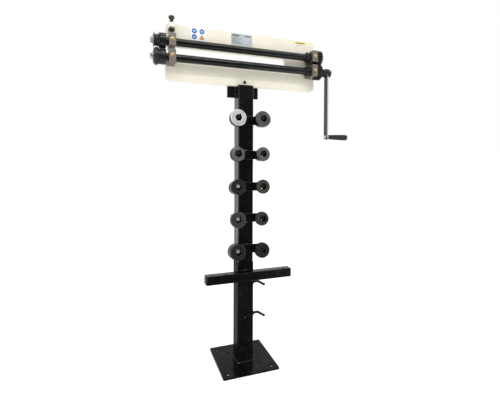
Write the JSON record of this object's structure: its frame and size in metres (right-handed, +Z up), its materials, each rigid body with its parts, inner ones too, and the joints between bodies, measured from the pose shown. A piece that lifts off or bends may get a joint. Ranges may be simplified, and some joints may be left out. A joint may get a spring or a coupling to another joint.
{
  "type": "bead roller on stand",
  "caption": "Hand-cranked sheet metal bead roller with a deep throat, on a telescoping pedestal stand with pegs of spare forming dies.",
  "frame": {"origin": "centre of the base plate's underside, on the floor", "axes": "+Z up along the post, +X towards the crank end, -Y towards the operator"},
  "size_m": [0.7325, 0.2, 1.184],
  "materials": {
    "black_paint": "gloss black enamel",
    "cream_paint": "satin cream enamel",
    "black_plastic": "moulded black plastic",
    "grip_plastic": "satin moulded grip",
    "black_oxide": "oiled black oxide",
    "shaft_steel": "polished black oxide",
    "machined_steel": "milled, light oil film",
    "gear_steel": "hobbed, oiled",
    "bronze": "turned bearing bronze",
    "brass": "turned brass",
    "zinc": "bright zinc plate",
    "dark_fastener": "black oxide fastener",
    "die_steel": "blackened tool steel",
    "die_bright": "faced bright tool steel",
    "die_grey": "ground tool steel",
    "die_blue": "blued tool steel",
    "die_dark": "dark tool steel",
    "die_brown": "browned tool steel",
    "label_white": "printed vinyl film",
    "label_grey": "printed metallic film",
    "label_yellow": "printed vinyl film"
  },
  "bodies": {
    "stand": {"base_plate": "black_paint", "outer_tube": "black_paint", "clamp_nuts": "black_paint", "tool_bar": "black_paint", "tool_bar_caps": "black_plastic"},
    "mast": {"mast_tube": "black_paint", "head_bracket": "black_paint", "head_bolt": "dark_fastener", "head_nut": "dark_fastener", "peg_bars": "black_paint", "pegs": "black_paint", "frame_plate": "cream_paint", "screw_bracket": "cream_paint", "bracket_bolts": "dark_fastener", "screw_lock_nut": "dark_fastener", "lower_front_block": "machined_steel", "lower_rear_block": "machined_steel", "upper_rear_block": "machined_steel", "lower_bushes": "bronze", "block_oilers": "brass", "block_bolts": "dark_fastener", "safety_label": "label_white", "data_label": "label_grey", "notice_label": "label_yellow"},
    "front_slide": {"upper_front_block": "machined_steel", "upper_front_bush": "bronze", "upper_front_oiler": "brass", "guide_bolt": "dark_fastener"},
    "adjust_screw_body": {"adjust_screw": "dark_fastener"},
    "upper_swivel": {"upper_swivel_bush": "bronze"},
    "upper_roll": {"upper_shaft": "shaft_steel", "upper_collar": "black_oxide", "upper_die": "die_steel", "upper_gear": "gear_steel", "upper_stop_collar": "black_oxide", "upper_keys": "machined_steel", "upper_die_bolt": "zinc"},
    "lower_roll": {"lower_shaft": "shaft_steel", "lower_collar": "black_oxide", "lower_die": "die_steel", "lower_gear": "gear_steel", "lower_stop_collar": "black_oxide", "lower_keys": "machined_steel", "lower_die_bolt": "zinc", "crank_hub": "black_oxide", "crank_arm": "dark_fastener", "grip_spindle": "zinc"},
    "hand_grip": {"crank_grip": "grip_plastic"},
    "clamp_lower": {"clamp_handle_lower": "black_oxide"},
    "clamp_upper": {"clamp_handle_upper": "black_oxide"},
    "stored_die_left_1_body": {"stored_die_left_1": "die_bright"},
    "stored_die_left_2_body": {"stored_die_left_2": "die_grey"},
    "stored_die_left_3_body": {"stored_die_left_3": "die_dark"},
    "stored_die_left_4_body": {"stored_die_left_4": "die_blue"},
    "stored_die_left_5_body": {"stored_die_left_5": "die_dark"},
    "stored_die_right_1_body": {"stored_die_right_1": "die_grey"},
    "stored_die_right_2_body": {"stored_die_right_2": "die_dark"},
    "stored_die_right_3_body": {"stored_die_right_3": "die_brown"},
    "stored_die_right_4_body": {"stored_die_right_4": "die_brown"},
    "stored_die_right_5_body": {"stored_die_right_5": "die_dark"}
  },
  "joints": [
    {"name": "mast_height", "type": "slide", "parent": "stand", "child": "mast", "axis": [0, 0, 1], "range_m": [-0.012, 0.1]},
    {"name": "clamp_lower_turn", "type": "hinge", "parent": "stand", "child": "clamp_lower", "pos_m": [0.029, 0, 0.165], "axis": [1, 0, 0], "range_deg": [0, 360]},
    {"name": "clamp_upper_turn", "type": "hinge", "parent": "stand", "child": "clamp_upper", "pos_m": [0.029, 0, 0.279], "axis": [1, 0, 0], "range_deg": [0, 360]},
    {"name": "front_block_slide", "type": "slide", "parent": "mast", "child": "front_slide", "axis": [0, 0, 1], "range_m": [-0.0012, 0.005]},
    {"name": "adjust_screw_turn", "type": "hinge", "parent": "front_slide", "child": "adjust_screw_body", "pos_m": [-0.2565, -0.032, 1.122], "axis": [0, 0, 1], "range_deg": [-247.5, 1029.5]},
    {"name": "upper_shaft_tilt", "type": "hinge", "parent": "mast", "child": "upper_swivel", "pos_m": [0.2535, -0.032, 1.102], "axis": [0, 1, 0], "range_deg": [-0.14, 0.57]},
    {"name": "upper_shaft_spin", "type": "hinge", "parent": "upper_swivel", "child": "upper_roll", "pos_m": [0.2535, -0.032, 1.102], "axis": [1, 0, 0], "continuous": true},
    {"name": "crank_turn", "type": "hinge", "parent": "mast", "child": "lower_roll", "pos_m": [0.2535, -0.032, 1.0512], "axis": [1, 0, 0], "continuous": true},
    {"name": "grip_spin", "type": "hinge", "parent": "lower_roll", "child": "hand_grip", "pos_m": [0.327, -0.032, 0.8112], "axis": [1, 0, 0], "continuous": true},
    {"name": "stored_die_left_1_pull", "type": "slide", "parent": "mast", "child": "stored_die_left_1_body", "axis": [0, -0.9925, 0.1219], "range_m": [0, 0.045]},
    {"name": "stored_die_left_2_pull", "type": "slide", "parent": "mast", "child": "stored_die_left_2_body", "axis": [0, -0.9925, 0.1219], "range_m": [0, 0.045]},
    {"name": "stored_die_left_3_pull", "type": "slide", "parent": "mast", "child": "stored_die_left_3_body", "axis": [0, -0.9925, 0.1219], "range_m": [0, 0.045]},
    {"name": "stored_die_left_4_pull", "type": "slide", "parent": "mast", "child": "stored_die_left_4_body", "axis": [0, -0.9925, 0.1219], "range_m": [0, 0.045]},
    {"name": "stored_die_left_5_pull", "type": "slide", "parent": "mast", "child": "stored_die_left_5_body", "axis": [0, -0.9925, 0.1219], "range_m": [0, 0.045]},
    {"name": "stored_die_right_1_pull", "type": "slide", "parent": "mast", "child": "stored_die_right_1_body", "axis": [0, -0.9925, 0.1219], "range_m": [0, 0.045]},
    {"name": "stored_die_right_2_pull", "type": "slide", "parent": "mast", "child": "stored_die_right_2_body", "axis": [0, -0.9925, 0.1219], "range_m": [0, 0.045]},
    {"name": "stored_die_right_3_pull", "type": "slide", "parent": "mast", "child": "stored_die_right_3_body", "axis": [0, -0.9925, 0.1219], "range_m": [0, 0.045]},
    {"name": "stored_die_right_4_pull", "type": "slide", "parent": "mast", "child": "stored_die_right_4_body", "axis": [0, -0.9925, 0.1219], "range_m": [0, 0.045]},
    {"name": "stored_die_right_5_pull", "type": "slide", "parent": "mast", "child": "stored_die_right_5_body", "axis": [0, -0.9925, 0.1219], "range_m": [0, 0.045]}
  ],
  "couplings": [
    {"joint": "adjust_screw_turn", "follows": "front_block_slide", "rad_per_m": 3590.4},
    {"joint": "upper_shaft_tilt", "follows": "front_block_slide", "rad_per_m": 1.9608},
    {"joint": "upper_shaft_spin", "follows": "crank_turn", "ratio": -1}
  ]
}
